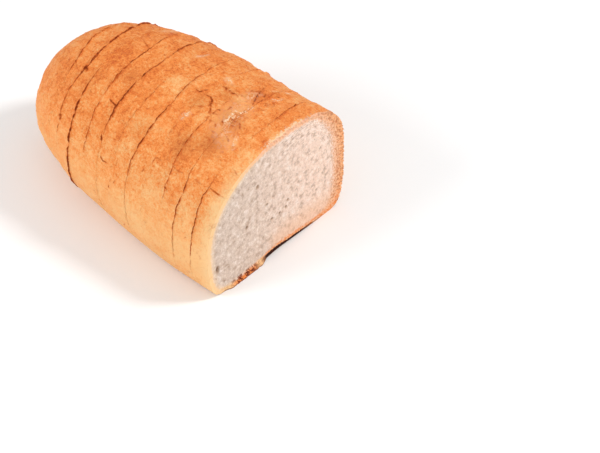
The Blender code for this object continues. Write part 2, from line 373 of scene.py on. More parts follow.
toneSpots = (  # x, y, z, reach in mm, and how much more or less baked it is there
    # the first spot, paler on top of the crown, is partly a paler bake and partly a painted highlight
    (21, -10, 98, 13, -0.34), (88, 26, 91, 20, 0.1), (96, -8, 90, 7, 0.3), (96, 10, 91, 7, 0.3),
    (85, 10, 92, 14, 0.14), (64, 21, 92, 12, 0.28), (86, -40, 78, 12, 0.1), (-22, -8, 98, 24, 0.1),
    (-50, -10, 90, 30, -0.1), (21, -52, 74, 14, -0.14), (44, -58, 59, 18, -0.14), (40, -26, 92, 12, 0.16),
    (50, -38, 84, 14, 0.2), (8, -48, 76, 10, 0.14), (80, -60, 30, 26, -0.15), (30, -60, 28, 30, -0.1),
    (92, -50, 68, 10, -0.25), (94, -22, 87, 14, -0.16), (66, -27, 88, 13, 0.3), (63, -7, 93, 12, 0.12),
    (-74, -30, 56, 26, 0.12), (18, -38, 86, 14, -0.15), (77, -58, 58, 16, -0.14), (-4, -14, 97, 12, 0.1),
)
brownSpots = (  # the same, for where the crust is dull brown
    (66, -27, 88, 14, 0.3), (52, -36, 86, 14, 0.28), (40, -8, 95, 12, 0.22), (-8, -20, 96, 14, 0.16),
    (48, 8, 96, 12, 0.2), (20, -40, 84, 12, 0.14), (-30, -30, 88, 16, 0.1), (60, 20, 93, 10, 0.12),
    (63, -7, 93, 12, 0.26), (72, -8, 92, 8, 0.12),
)
rumpledSpots = (  # and for where it has crumpled
    (64, 20, 92, 24, 1), (62, -8, 93, 18, 1), (66, -26, 88, 14, 0.6), (44, -8, 95, 18, 0.6),
    (36, 14, 97, 18, 0.5), (-30, -6, 97, 20, 0.35), (54, -44, 80, 18, 0.5), (14, -44, 82, 18, 0.35),
    (0, -20, 96, 22, 0.3),
)
crustRelief = {
    "dentSize": 10 * mm, "dentDepth": 0.50 * mm,
    "rippleSize": 4.5 * mm, "rippleDepth": 0.30 * mm,
    "crackSize": 6.5 * mm, "crackWidth": 0.32 * mm, "crackDepth": 0.28 * mm, "crackDark": 0.30,
    "pimpleSize": 2.8 * mm, "pimpleRadius": 0.9 * mm, "pimpleHeight": 0.20 * mm,
    "grainSize": 1.5 * mm, "grainDepth": 0.15 * mm,
    "rumpleSize": 5.0 * mm, "rumpleDepth": 1.1 * mm, "foldWidth": 0.30,
    "crackWarp": (3.9 * mm, 1.6 * mm, (21.0, 27.0, 33.0)),  # size, amount and seeds of the wavering
    "markWarp": (2.6 * mm, 0.45 * mm, (31.0, 47.0, 63.0)),
    "breakSize": 1.6 * mm,  # how long the marks' darker and paler stretches are
    "markDepth": 2.2 * mm,  # marks are painted no deeper than this
    "settle": 0.5 * mm,  # how far the skin sits inside the solids, so that it stays within their box
}


def lineDistance(points, path):
    # distance of each point from a line through the path's places, and how far along the line it is, 0 to 1
    best, share = np.full(len(points), 1e9), np.zeros(len(points))
    for i, (start, end) in enumerate(zip(path, path[1:])):
        a, b = np.array(start, float) * mm, np.array(end, float) * mm
        along = np.clip((points - a) @ (b - a) / ((b - a) @ (b - a)), 0.0, 1.0)
        away = np.linalg.norm(points - (a + along[:, None] * (b - a)), axis=1)
        share = np.where(away < best, (i + along) / (len(path) - 1), share)
        best = np.minimum(best, away)
    return best, share


def creaseShape(points, path, width):
    # 1 in the middle of a crease, fading away from it and towards its ends, where it is thinner too
    away, share = lineDistance(points, path)
    length = sum(math.dist(start, end) for start, end in zip(path, path[1:]))
    blunt = min(1.0, 3.0 * width / length)  # a pit has no ends to thin out
    full = blunt + (1.0 - blunt) * np.sin(math.pi * np.clip(share, 0.02, 0.98)) ** 0.5
    return full ** 0.4 * np.exp(-(away / (width * mm * (0.5 + 0.5 * full))) ** 2)


def spotSum(points, spots):
    total = np.zeros(len(points))
    for x, y, z, size, amount in spots:
        near = np.linalg.norm(points - np.array((x, y, z)) * mm, axis=1)
        total += amount * smoothStep(1.0 - near / (size * mm))
    return total


def wavered(points, size, reach, seeds):
    # the same places pushed about a little, so that a straight line drawn through them comes out ragged
    return points + reach * np.column_stack([noiseAt(points, size, seed) for seed in seeds])


def scatterTicks():
    # short shallow creases all over the crust: both ends, width, depth and darkness of each
    chance = np.random.default_rng(ticks["seed"])
    found = []
    for _ in range(ticks["count"]):
        x = chance.uniform(tipX + ticks["clearOfTip"], faceX - ticks["clearOfFace"])
        angle = math.radians(chance.uniform(*ticks["angles"]))
        reach = crustDistance(np.array([angle]), np.array([x]))[0]
        middle = np.array((x, reach * math.cos(angle), float(axisHeight(x)) + reach * math.sin(angle)))
        lean = chance.uniform(-ticks["lean"], ticks["lean"])
        way = (math.sin(lean), -math.cos(lean) * math.sin(angle), math.cos(lean) * math.cos(angle))
        half = np.array(way) * chance.uniform(*ticks["length"]) / 2 * mm
        sizes = [chance.uniform(*ticks[key]) for key in ("width", "depth", "dark")]
        found.append((middle - half, middle + half, *sizes))
    return found


def tickFeatures(points):
    # depth and darkness of the ticks at each point
    depth, dark = np.zeros(len(points)), np.zeros(len(points))
    for start, end, width, deep, shade in tickLines:
        reach = np.linalg.norm(end - start) + 4 * width * mm
        close = np.flatnonzero(np.abs(points - (start + end) / 2).max(axis=1) < reach)
        shape = creaseShape(points[close], (start / mm, end / mm), width)
        depth[close] = np.maximum(depth[close], deep * mm * shape)
        dark[close] = np.maximum(dark[close], shade * shape)
    return depth, dark


def cutFeatures(points, flatX):
    # distance from the nearest knife cut, how plainly it shows there, and how far its slice stands proud
    x, y, z = points.T
    places = np.array(cutPlaces)
    gaps = np.abs(flatX[:, None] - places[None, :])
    plainness = showsAt(gaps.argmin(axis=1), aroundOf(y, z, x)[0])
    order = (flatX[:, None] < places[None, :]).sum(axis=1)
    return gaps.min(axis=1), plainness, np.array(standsProud)[order] * mm


def reliefOf(points, flatX):
    # height of the crust's relief at each point
    r = crustRelief
    height = np.zeros(len(points))
    for name, seed in (("dent", 3.0), ("ripple", 11.0), ("grain", 5.0)):
        height += r[name + "Depth"] * noiseAt(points, r[name + "Size"], seed)
    height -= r["crackDepth"] * cracksAt(points)
    height -= r["rumpleDepth"] * foldsAt(points)
    spot, chance = cellsAt(points, r["pimpleSize"], 2.0)
    height += r["pimpleHeight"] * chance * smoothStep(1.0 - spot / r["pimpleRadius"])
    ragged = wavered(points, *r["markWarp"])
    for width, depth, _, *path in marks:
        height -= depth * mm * creaseShape(ragged, path, width)
    height -= tickFeatures(ragged)[0]
    gap, plainness, proud = cutFeatures(points, flatX)
    height -= knife["grooveDepth"] * plainness * np.exp(-(gap / knife["grooveWidth"]) ** 2)
    away, width = knife["besideCut"]
    height += knife["edgeRise"] * plainness * np.exp(-((gap - away) / width) ** 2)
    height -= knife["valley"] * (0.35 + 0.65 * plainness) * np.exp(-(gap / knife["valleyWidth"]) ** 2)
    return (height + proud) * within(points[:, 2], *knife["fadeAtFoot"]) - r["settle"]


def foldsAt(points):
    # short folds where the crust has crumpled
    size = crustRelief["rumpleSize"]
    lines = smoothStep(1.0 - np.abs(noiseAt(points, size, 91.0)) / crustRelief["foldWidth"])
    pieces = smoothStep(0.35 + 2.0 * noiseAt(points, 0.7 * size, 95.0))
    return np.clip(spotSum(points, rumpledSpots), 0.0, 1.0) * lines * pieces


def cracksAt(points):
    # fine branching cracks in patches, along the borders between scattered cells
    r = crustRelief
    borders = []
    for p in (wavered(points, *r["crackWarp"]) / r["crackSize"]).tolist():
        distances = noise.voronoi(p)[0]
        borders.append(distances[1] - distances[0])
    patches = smoothStep(noiseAt(points, 0.8 * r["crackSize"], 8.0) * 2.5)
    return patches * np.exp(-(np.array(borders) * r["crackSize"] / r["crackWidth"]) ** 2)


tickLines = scatterTicks()


# The whole loaf's skin, one fine grid wrapped round the solids
skin = {
    "around": 600,
    "footShare": 0.35,  # how closely the points lie under the foot, against 1 on the crust
    "spacing": 0.66 * mm,
    "besideCuts": (0.0, 0.3, 0.65, 1.1),  # mm from each cut
    "ahead": 7 * mm,  # runs on past the open face, where the knife trims it
    "heelRows": 74,
}


def skinStations():
    # x of each row of the skin, closer beside the cuts
    places = [faceX + skin["ahead"]] + cutPlaces
    rows = []
    for start, end in zip(places, places[1:]):
        close = [offset * mm for offset in skin["besideCuts"]]
        first, last = start - close[-1], end + close[-1]
        inner = round((first - last) / skin["spacing"])
        rows += [start - offset for offset in close]
        rows += [first + (last - first) * i / inner for i in range(1, inner)]
        rows += [end + offset for offset in reversed(close[1:])]
    length = faceX - tipX
    behind = [cutPlaces[-1] - offset * mm for offset in skin["besideCuts"]]
    firstTurn = math.asin((faceX - behind[-1]) / length)
    for i in range(1, skin["heelRows"]):
        turn = firstTurn + (0.5 * math.pi - firstTurn) * i / skin["heelRows"]
        behind.append(faceX - length * math.sin(turn))
    return np.array(rows + behind + [tipX])


def evenAngles(count):
    # angles that cut a middle section into equal lengths, starting under the foot
    x = faceX - 0.35 * (faceX - tipX)
    angles = np.append(crustAngles, crustAngles[0] + 2 * math.pi)
    reach = crustDistance(angles, np.full(len(angles), x))
    y, z = reach * np.cos(angles), reach * np.sin(angles)
    steps = np.hypot(np.diff(y), np.diff(z))
    steps *= np.where(z[1:] < 1.5 * mm, skin["footShare"], 1.0)
    lengths = np.append(0.0, np.cumsum(steps))
    return np.interp(np.linspace(0.0, lengths[-1], count), lengths, angles)


def wrapSkin():
    stations = skinStations()
    angles = evenAngles(skin["around"] + 1)
    shifts = wanderTable(angles)
    knots = wanderKnots()
    spots = np.zeros((len(stations), len(angles), 3))
    for i, angle in enumerate(angles):
        x = stations + np.interp(-stations, -knots, shifts[i])
        x = np.maximum(x, tipX)
        reach = crustDistance(np.full(len(x), angle), x)
        spots[:, i, 0] = x
        spots[:, i, 1] = reach * math.cos(angle)
        spots[:, i, 2] = axisHeight(x) + reach * math.sin(angle)
    along = np.gradient(spots, axis=0)
    around = np.gradient(spots, axis=1)
    outward = np.cross(around, along)
    outward[-1] = (-1.0, 0.0, 0.0)
    outward /= np.linalg.norm(outward, axis=2)[:, :, None] + 1e-12
    flat = np.repeat(stations, len(angles))
    points = spots.reshape(-1, 3)
    print("skin wrapped:", len(points), "points")
    points = points + outward.reshape(-1, 3) * reliefOf(points, flat)[:, None]
    points = np.clip(points, np.array(cadLow), np.array(cadHigh) + (skin["ahead"], 0.0, 0.0))
    grid = points.reshape(len(stations), len(angles), 3)
    grid[:, -1] = grid[:, 0]  # the seam under the foot closes
    grid[-1] = grid[-1].mean(axis=0)  # and the heel runs to one point
    return grid


def makeSkin(crust, crumb):
    grid = wrapSkin()
    rows, columns = grid.shape[:2]
    shell = bmesh.new()
    bmesh.ops.create_grid(shell, x_segments=columns - 1, y_segments=rows - 1, size=1.0)
    shell.verts.ensure_lookup_table()
    for vertex, place in zip(shell.verts, grid.reshape(-1, 3).tolist()):
        vertex.co = place
    bmesh.ops.remove_doubles(shell, verts=shell.verts, dist=0.005 * mm)
    openEdges = [edge for edge in shell.edges if edge.is_boundary]
    bmesh.ops.contextual_create(shell, geom=openEdges)
    bmesh.ops.recalc_face_normals(shell, faces=shell.faces)
    whole = meshObject("loafSkin", shell, crust, crumb)
    print("skin made:", len(whole.data.polygons), "faces")
    return whole


# Crumb: what the knife leaves on each cut side
crumbRelief = {
    "swellSize": 13 * mm, "swellDepth": 0.22 * mm,
    "grainSize": 1.1 * mm, "grainDepth": 0.10 * mm,
    "poreSize": 2.6 * mm, "poreDepth": 0.34 * mm, "poreWidth": (0.16, 0.24),
    "bubbleSize": 6.5 * mm, "bubbleDepth": 1.0 * mm, "bubbleWidth": (0.08, 0.14), "bubbleChance": 0.45,
    "apart": 31 * mm,  # from one cut side's noise to the next one's
    "stretchAcross": (-10 * mm, 10 * mm), "stretchUp": (30 * mm, 50 * mm),  # pores lie along the crust
    "girth": 18 * mm, "stretch": 1.7,
    "smoothUnderCrust": 1.5 * mm,
    "tornSize": 1.5 * mm, "tornDepth": 1.3 * mm, "tornBand": (3 * mm, 9 * mm),
    "tornAcross": (-20 * mm, -5 * mm), "tornUp": 15 * mm, "farSide": (25 * mm, 50 * mm),
}
faceHoles = (  # larger bubbles on the open face: y, z, half width, half height, depth, in mm
    (-54.9, 22.0, 1.5, 3.2, 2.6), (-17.7, 65.2, 1.3, 1.5, 1.6),
    (9.7, 35.9, 1.1, 1.3, 1.5), (-9.8, 45.0, 1.3, 1.0, 1.4),
    (-28.2, 38.5, 1.1, 1.4, 1.5), (7.8, 31.3, 1.0, 1.2, 1.4),
    (-5.3, 30.2, 1.2, 1.0, 1.5), (2.1, 30.1, 0.9, 0.9, 1.2),
)


def poresAt(spots, number):
    r = crumbRelief
    places = np.column_stack([np.full(len(spots), number * r["apart"]), spots])
    small, smallChance = cellsAt(places, r["poreSize"], 7.0)
    large, largeChance = cellsAt(places, r["bubbleSize"], 13.0)
    narrow = r["poreSize"] * (r["poreWidth"][0] + r["poreWidth"][1] * smallChance)
    wide = r["bubbleSize"] * (r["bubbleWidth"][0] + r["bubbleWidth"][1] * largeChance)
    deep = r["poreDepth"] * smallChance * smoothStep(1.25 - small / narrow)
    bubbles = r["bubbleDepth"] * (largeChance > r["bubbleChance"]) * smoothStep(1.2 - large / wide)
    deep = np.maximum(deep, bubbles)
    for name, seed in (("grain", 1.0), ("swell", 2.0)):
        deep += r[name + "Depth"] * (0.5 + 0.5 * noiseAt(places, r[name + "Size"], seed))
    return deep


def crumbDepth(y, z, x, number):
    # how far the crumb lies behind the knife's plane
    r = crumbRelief
    spots = np.column_stack([y, z])
    angle, reach = aroundOf(y, z, x)
    depth = crustDistance(angle, x) - reach
    bent = np.column_stack([angle * r["girth"], depth * r["stretch"]])
    lies = within(y, *r["stretchAcross"]) * within(z, *r["stretchUp"])
    deep = poresAt(spots, number) * (1 - lies)
    mixed = lies > 0
    deep[mixed] += poresAt(bent[mixed], number + 0.5) * lies[mixed]
    deep *= smoothStep(depth / r["smoothUnderCrust"])
    if number > 0:
        return deep
    # the open face's edge is torn and rough on the far side
    band = r["tornBand"][0] + (r["tornBand"][1] - r["tornBand"][0]) * within(y, *r["farSide"])
    torn = within(y, *r["tornAcross"]) * smoothStep(1.4 - depth / band) * smoothStep(z / r["tornUp"])
    places = np.column_stack([np.zeros(len(y)), spots])
    shreds = noiseAt(places, r["tornSize"], 6.0) + 0.6 * noiseAt(places, 0.5 * r["tornSize"], 16.0)
    return deep + torn * r["tornDepth"] * np.clip(0.45 + 0.75 * shreds, 0.0, 1.0)


def knifeX(number, y, z, side):
    # x of one side of a cut across the loaf: its wandering on the crust dies out towards the middle
    x = np.full(len(y), cutPlaces[number])
    angle, reach = aroundOf(y, z, x)
    share = reach / crustDistance(angle, x)
    gape = knife["gape"] * showsAt(np.full(len(y), number), angle) * within(share, knife["gapeFrom"], 1.0)
    return x + wanderOf(number, angle) * smoothStep(share) ** 2 + side * (knife["gap"] + gape) / 2


lip = {
    "left": -50.0, "right": -10.0, "top": 3.4 * mm, "ragged": 1.3 * mm, "raggedSize": 5 * mm,
    "layer": 1.2 * mm, "upperEdge": 0.5 * mm, "lowerEdge": 0.4 * mm, "shares": (0.55, 0.45),
    "tears": ((0.4, 3.5 * mm, 4.0), (0.25, 1.1 * mm, 9.0)),  # amount, size and seed
}


def lipX(y, z):
    # how far the torn strip of bottom crust stands out, in two ragged layers
    across = np.clip((y / mm - lip["left"]) / (lip["right"] - lip["left"]), 0.0, 1.0)
    shape = smoothStep(3.0 * (1.0 - np.abs(2.0 * across - 1.0)))
    places = np.column_stack([y, np.zeros_like(y), np.zeros_like(y)])
    tears = 0.6 + sum(amount * noiseAt(places, size, seed) for amount, size, seed in lip["tears"])
    high = lip["top"] + lip["ragged"] * noiseAt(places, lip["raggedSize"], 2.0)
    upper = lip["shares"][0] * smoothStep((high - z) / lip["upperEdge"])
    lower = lip["shares"][1] * smoothStep((lip["layer"] - z) / lip["lowerEdge"])
    return loaf["lipReach"] * shape * np.clip(tears * upper + lower, 0.0, 1.0)


def holeDistance(y, z, hole):
    return np.hypot((y / mm - hole[0]) / hole[2], (z / mm - hole[1]) / hole[3])


def openFaceX(y, z):
    start = np.full(len(y), faceX)
    deep = crumbDepth(y, z, start, 0)
    for hole in faceHoles:
        deep = np.maximum(deep, hole[4] * mm * smoothStep(1.3 - holeDistance(y, z, hole)))
    return start - deep + lipX(y, z)


slab = {"margin": 6 * mm, "openCuts": 290, "hiddenCuts": 70}


def makeSlab(number, crust, crumb):
    # a block with knife-cut sides, as thick as the slice and wider than it
    wide = cadHigh.y - cadLow.y + 2 * slab["margin"]
    high = cadHigh.z - cadLow.z + 2 * slab["margin"]
    block = bmesh.new()
    bmesh.ops.create_cube(block, size=1.0)
    bmesh.ops.scale(block, verts=block.verts, vec=(0.01, wide, high))
    bmesh.ops.translate(block, verts=block.verts, vec=(0.0, 0.0, (cadLow.z + cadHigh.z) / 2))
    lastOne = number == len(cutPlaces)
    for side in (1, -1)[:1 if lastOne else 2]:
        edges = [e for e in block.edges if all(v.co.x * side > 0 for v in e.verts)]
        cuts = slab["openCuts"] if side > 0 and number == 0 else slab["hiddenCuts"]
        bmesh.ops.subdivide_edges(block, edges=edges, cuts=cuts, use_grid_fill=True)
    x, y, z = np.array([v.co for v in block.verts]).T
    front = x > 0
    ahead, behind = (y[front], z[front]), (y[~front], z[~front])
    if number == 0:
        x[front] = openFaceX(*ahead)
    else:
        start = knifeX(number - 1, *ahead, -1)
        x[front] = start - crumbDepth(*ahead, start, 2 * number)
    if lastOne:
        x[~front] = tipX - slab["margin"]
    else:
        end = knifeX(number, *behind, 1)
        x[~front] = end + crumbDepth(*behind, end, 2 * number + 1)
    for vertex, value in zip(block.verts, x.tolist()):
        vertex.co.x = value
    for face in block.faces:
        face.material_index = 1
    return meshObject("knifeSlab", block, crust, crumb)


def cutSlice(skinObject, slabObject):
    modifier = skinObject.modifiers.new("knife", "BOOLEAN")
    modifier.operation = "INTERSECT"
    modifier.solver = "MANIFOLD"
    modifier.object = slabObject
    graph = bpy.context.evaluated_depsgraph_get()
    mesh = bpy.data.meshes.new_from_object(skinObject.evaluated_get(graph))
    skinObject.modifiers.remove(modifier)
    return mesh


# Values that the materials read at each point of a piece
def paintSlice(mesh):
    points = np.empty(len(mesh.vertices) * 3)
    mesh.vertices.foreach_get("co", points)
    points = points.reshape(-1, 3)
    x, y, z = points.T
    gap, plainness = cutFeatures(points, straightened(points))[:2]
    # painted shade along the knife cuts where they show, and below in the crust's creases, cracks, folds and
    # ticks
    crease = plainness * np.exp(-(gap / knife["darkWidth"]) ** 2)
    angle, reach = aroundOf(y, z, x)
    inner = crustDistance(angle, x) - reach
    r = crustRelief
    # the crust's own marks are looked up where the smooth crust lies, as they were when the relief was made
    outside = np.flatnonzero(inner < r["markDepth"])
    outward = np.column_stack([np.zeros(len(outside)), np.cos(angle[outside]), np.sin(angle[outside])])
    places = points[outside] + outward * inner[outside][:, None]
    ragged = wavered(places, *r["markWarp"])
    found = np.maximum(tickFeatures(ragged)[1], r["crackDark"] * cracksAt(places))
    found = np.maximum(found, foldsAt(places))
    for width, _, dark, *path in marks:
        found = np.maximum(found, dark * creaseShape(ragged, path, width))
    broken = np.clip(0.86 + noiseAt(places, r["breakSize"], 71.0), 0.25, 1.0)
    crease[outside] = np.maximum(crease[outside], found) * broken
    values = {"crease": crease, "rimDepth": inner / mm, "around": angle}
    for name, spots in (("toneShift", toneSpots), ("brownShift", brownSpots)):
        values[name] = np.zeros(len(points))
        values[name][outside] = spotSum(ragged, spots)
    # painted shade inside the larger holes of the open face
    bubble = np.zeros(len(points))
    for hole in faceHoles:
        bubble = np.maximum(bubble, smoothStep(1.5 - holeDistance(y, z, hole)) * (x > faceX - 5 * mm))
    values["bubble"] = bubble
    for name, spots in flourLines.items():
        amount = np.zeros(len(points))
        for size, *path in spots:
            near = smoothStep(1.0 - lineDistance(ragged, path)[0] / (size * mm))
            amount[outside] = np.maximum(amount[outside], near)
        values[name + "Flour"] = amount
    for name, value in values.items():
        layer = mesh.attributes.new(name, "FLOAT", "POINT")
        layer.data.foreach_set("value", value.astype(np.float32))


# Materials
def linear(red, green, blue):
    # a colour as seen on screen, 0 to 255, in the shader's own numbers
    screen = np.array((red, green, blue)) / 255
    light = np.where(screen > 0.0393, ((screen + 0.055) / 1.055) ** 2.4, screen / 12.92)
    return (*light.tolist(), 1.0)


def fillSockets(tree, node, values):
    # each socket gets another node's result or a fixed value
    for name, value in values.items():
        if isinstance(value, bpy.types.NodeSocket):
            tree.links.new(value, node.inputs[name])
        else:
            node.inputs[name].default_value = value
    return node.outputs


def addNode(tree, kind, values, **settings):
    node = tree.nodes.new("ShaderNode" + kind)
    for name, value in settings.items():
        setattr(node, name, value)
    return fillSockets(tree, node, values)


def noiseNode(tree, vector, size, detail, roughness):
    values = {"Vector": vector, "Scale": 1.0 / size, "Detail": detail, "Roughness": roughness}
    return addNode(tree, "TexNoise", values)["Fac"]


def mathNode(tree, operation, *values, clamp=False):
    return addNode(tree, "Math", dict(enumerate(values)), operation=operation, use_clamp=clamp)[0]


def chainNode(tree, operation, first, *others, clamp=False):
    for value in others:
        first = mathNode(tree, operation, first, value, clamp=clamp)
    return first


def mixNode(tree, factor, first, second):
    return addNode(tree, "Mix", {"Factor": factor, 6: first, 7: second}, data_type="RGBA")[2]


def rampNode(tree, factor, stops):
    node = tree.nodes.new("ShaderNodeValToRGB")
    ramp = node.color_ramp
    while len(ramp.elements) < len(stops):
        ramp.elements.new(0.5)
    for element, (position, colour) in zip(ramp.elements, stops):
        element.position = position
        element.color = colour
    return fillSockets(tree, node, {0: factor})[0]


def rangeNode(tree, value, low, high, toLow=0.0, toHigh=1.0):
    values = {"Value": value, "From Min": low, "From Max": high, "To Min": toLow, "To Max": toHigh}
    return addNode(tree, "MapRange", values, interpolation_type="SMOOTHSTEP")[0]


def attributeNode(tree, name):
    return addNode(tree, "Attribute", {}, attribute_name=name)["Fac"]


def newMaterial(name, look):
    material = bpy.data.materials.new(name)
    material.use_nodes = True
    tree = material.node_tree
    tree.nodes.clear()
    shader = tree.nodes.new("ShaderNodeBsdfPrincipled")
    addNode(tree, "OutputMaterial", {0: fillSockets(tree, shader, look["surface"])[0]})
    return material, tree, shader


def nodeTools(tree, look):
    # the node makers that a material needs most, tied to its tree and its look
    def rise(value, name):
        return rangeNode(tree, value, *look[name])

    def lay(colour, **layers):
        for name, factor in layers.items():
            colour = mixNode(tree, factor, colour, look[name])
        return colour

    times = partial(chainNode, tree, "MULTIPLY")
    plus = partial(chainNode, tree, "ADD")
    scaled = partial(mathNode, tree, "MULTIPLY_ADD")
    most = partial(mathNode, tree, "MAXIMUM")
    return rise, lay, times, plus, scaled, most, partial(attributeNode, tree)


def placeNodes(tree, look):
    # each point's place along the loaf, across and up, and the material's noises
    spot = addNode(tree, "TexCoord", {})["Object"]
    noises = [noiseNode(tree, spot, *sizes[:3]) for sizes in look["noises"]]
    return *addNode(tree, "SeparateXYZ", {0: spot}), *noises


def roughen(tree, shader, look, speck, grain, values):
    normal = {}
    for height, (strength, distance) in zip((speck, grain), look["bumps"]):
        bump = addNode(tree, "Bump", {"Height": height, "Strength": strength, "Distance": distance, **normal})
        normal = {"Normal": bump[0]}
    fillSockets(tree, shader, {**values, **normal})


bake = {
    "pale": linear(247, 192, 130), "golden": linear(244, 164, 95), "orange": linear(239, 138, 64),
    # the two crease colours on the next line are painted shade, for the creases and knife cuts
    "deep": linear(206, 98, 42), "creaseEdge": linear(208, 106, 44), "crease": linear(136, 54, 12),
    "foot": linear(140, 76, 38), "brown": linear(168, 116, 66), "white": linear(252, 226, 188),
    "dusty": linear(238, 182, 136), "grime": linear(176, 96, 52), "cream": linear(248, 206, 150),
    "stops": ((0.06, "pale"), (0.36, "golden"), (0.62, "orange"), (1.0, "deep")),
    "noises": (  # size in m, detail, roughness, and how far it moves the tone
        (0.030, 2.0, 0.55, 0.34), (0.008, 3.0, 0.55, 0.80), (0.0022, 3.0, 0.65, 1.15),
        (0.0009, 3.0, 0.7, 1.45),
    ),
    # where each thing begins and is in full, in m or in shares of a noise, and its amounts there
    "crown": (0.020, 0.096, 0.16, 0.52), "heelwards": (0.09, -0.07, 0.0, 0.10),
    "faceAlong": (faceX - 0.016, faceX), "faceAcross": (0.0, -0.035, 0.0, -0.14),
    "mottled": (0.030, 0.075, 0.50, 1.0), "dustPatch": (0.38, 0.56, 0.1, 1.0),
    "dustPale": (0.48, 0.58, 0.0, 0.8), "dustBrown": (0.52, 0.40, 0.0, 0.55),
    "glow": (faceX - 0.0095, faceX - 0.0003, 0.0, 0.62), "nearSide": (-0.020, -0.050),
    "creaseWide": (0.04, 0.55), "creaseDeep": (0.38, 0.85), "creaseDull": (0.1, 0.6, 0.0, 0.95),
    "flour": (0.48, 0.56), "topEdge": (faceX - 0.0050, faceX - 0.0003), "topFrom": (-0.02, 0.0),
    "topUntil": (0.036, 0.016, 0.25, 1.0), "grains": (0.56, 0.64, 0.0, 0.75), "grainsStart": (0.0, 0.35),
    "footUp": (0.0020, 0.0006),
    "flourShares": {"dusty": 0.25, "white": 0.85},
    "grainLift": 0.16, "footPatch": (0.8, 0.45), "roughPatch": (0.25, 0.50),
    "bumps": ((0.9, 0.0012), (0.9, 0.0006)),  # strength and distance, of the specks and of the grain
    "surface": {
        "Specular IOR Level": 0.18, "Subsurface Weight": 0.05,
        "Subsurface Radius": (1.0, 0.45, 0.2), "Subsurface Scale": 0.0010,
    },
}


def crustMaterial():
    material, tree, shader = newMaterial("bakedCrust", bake)
    rise, lay, times, plus, scaled, most, own = nodeTools(tree, bake)
    length, across, height, *noises = placeNodes(tree, bake)
    patch, speck, grain = noises[1:]
    # browner on the crown and towards the heel, palest low down beside the open face
    nearFace = times(rise(length, "faceAlong"), rise(across, "faceAcross"))
    tone = plus(rise(height, "crown"), rise(length, "heelwards"), own("toneShift"), nearFace)
    reaches = [reach for *sizes, reach in bake["noises"]]
    waves = [scaled(source, reach, -reach / 2) for source, reach in zip(noises, reaches)]
    tone = scaled(plus(*waves), rise(height, "mottled"), tone)
    colour = rampNode(tree, tone, [(position, bake[name]) for position, name in bake["stops"]])
    colour = lay(colour, brown=own("brownShift"))
    # pale and brown dust on the front of the crown
    dustFlour = own("dustyFlour")
    gritty = scaled(grain, 0.5, times(speck, 0.5))
    dust = times(dustFlour, rise(patch, "dustPatch"))
    colour = lay(colour, dusty=times(dust, rise(gritty, "dustPale")))
    colour = lay(colour, grime=times(dust, rise(gritty, "dustBrown")))
    # beside the open face: cream on the near side, white grains over the top
    colour = lay(colour, cream=times(rise(length, "glow"), rise(across, "nearSide")))
    # painted shade in the knife cuts, creases, cracks, folds and ticks: a dark brown core with a broader,
    # lighter brown edge
    crease = own("crease")
    colour = lay(colour, creaseEdge=rise(crease, "creaseWide"), crease=rise(crease, "creaseDeep"))
    shares = bake["flourShares"]
    flour = scaled(dustFlour, shares["dusty"], times(own("whiteFlour"), shares["white"]))
    flour = times(flour, rise(gritty, "flour"), clamp=True)
    topEdge = times(rise(length, "topEdge"), rise(across, "topFrom"), rise(across, "topUntil"))
    grains = rise(scaled(topEdge, bake["grainLift"], gritty), "grains")
    colour = lay(colour, white=most(flour, times(rise(topEdge, "grainsStart"), grains)))
    colour = lay(colour, foot=times(rise(height, "footUp"), scaled(patch, *bake["footPatch"]), clamp=True))
    rough = most(scaled(patch, *bake["roughPatch"]), rise(crease, "creaseDull"))
    roughen(tree, shader, bake, speck, grain, {"Base Color": colour, "Roughness": rough})
    return material


